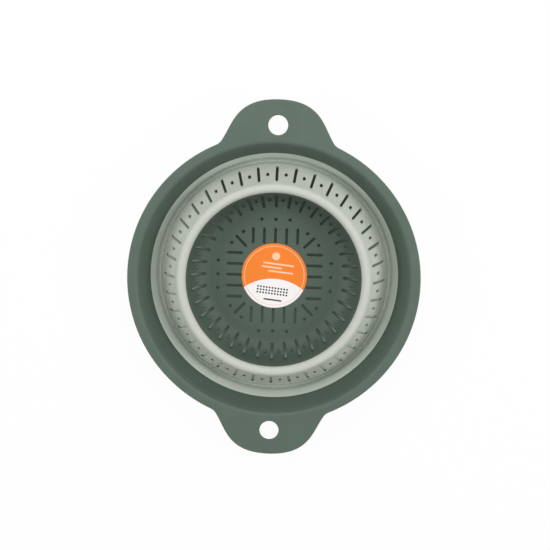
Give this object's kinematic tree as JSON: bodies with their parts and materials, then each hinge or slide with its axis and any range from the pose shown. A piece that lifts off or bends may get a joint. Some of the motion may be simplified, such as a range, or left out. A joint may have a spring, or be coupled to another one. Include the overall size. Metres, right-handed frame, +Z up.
{
  "type": "collapsible colander",
  "caption": "Round collapsible colander, folded flat: stiff rim with two ear handles, soft folding slotted wall and a stiff slotted bowl.",
  "frame": {"origin": "on the ground under the centre of the colander, folded flat", "axes": "+Z up along the colander's axis, +Y through one handle, +X across"},
  "size_m": [0.1948, 0.2384, 0.0279],
  "materials": {
    "green_plastic": "fine matte moulded polypropylene",
    "pale_rubber": "satin soft thermoplastic elastomer",
    "label_paper": "coated printed paper label"
  },
  "bodies": {
    "bowl": {"base_bowl": "green_plastic", "lip_ring": "pale_rubber", "folding_band": "pale_rubber", "label": "label_paper"},
    "rim": {"rim_frame": "green_plastic", "upper_fold_ring": "pale_rubber"}
  },
  "joints": [
    {"name": "rim_lift", "type": "slide", "parent": "bowl", "child": "rim", "axis": [0, 0, 1], "range_m": [0, 0.044], "deforming": ["folding_band"]}
  ]
}
